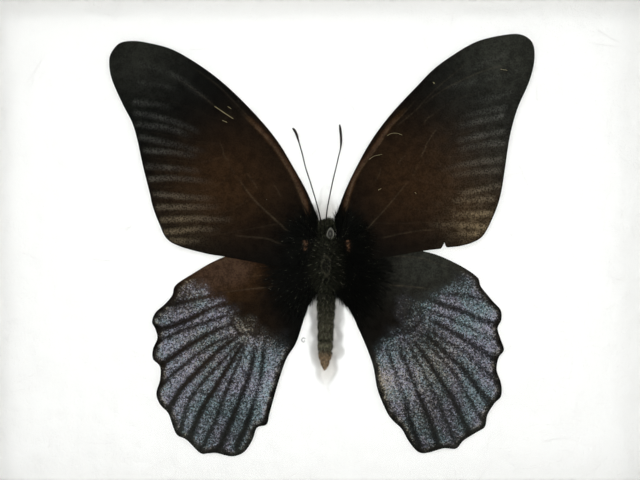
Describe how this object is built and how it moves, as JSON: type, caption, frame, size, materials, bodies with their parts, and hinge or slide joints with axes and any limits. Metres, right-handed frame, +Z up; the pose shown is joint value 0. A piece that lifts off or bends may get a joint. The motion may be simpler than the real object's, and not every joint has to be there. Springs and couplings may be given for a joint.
{
  "type": "framed butterfly specimen",
  "caption": "Dried butterfly with spread wings, lying on white wadding behind glass in a dark wooden box frame that stands or hangs on its sawtooth hanger.",
  "frame": {"origin": "middle of the underside, under the middle of the outside box", "axes": "+Z up, -Y towards the viewer in front of the glass, +X to the viewer's right"},
  "size_m": [0.229, 0.0282, 0.1782],
  "materials": {
    "body_fur": "black hair and scales",
    "wing_scales": "matt scales, dusted blue-grey",
    "antenna_horn": "dark horn",
    "cotton_wadding": "loose white fibre",
    "picture_glass": "clear float glass",
    "white_card": "matt",
    "hardboard": "pressed brown fibre",
    "stained_wood": "dark stain, satin varnish",
    "steel": "zinc plated",
    "brass_plate": "brass-plated steel"
  },
  "bodies": {
    "root": {"head": "body_fur", "thorax": "body_fur", "abdomen": "body_fur", "forewing_left": "wing_scales", "forewing_right": "wing_scales", "hindwing_left": "wing_scales", "hindwing_right": "wing_scales", "antenna_left": "antenna_horn", "antenna_right": "antenna_horn", "cotton_bed": "cotton_wadding", "glass_pane": "picture_glass", "spacer_top": "white_card", "spacer_bottom": "white_card", "spacer_left": "white_card", "spacer_right": "white_card", "backing_board": "hardboard", "rail_top": "stained_wood", "rail_bottom": "stained_wood", "rail_left": "stained_wood", "rail_right": "stained_wood", "point_top_left": "steel", "point_top_right": "steel", "point_bottom_left": "steel", "point_bottom_right": "steel", "point_side_left": "steel", "point_side_right": "steel", "sawtooth_hanger": "brass_plate", "nail_left": "steel", "nail_right": "steel"}
  },
  "joints": []
}
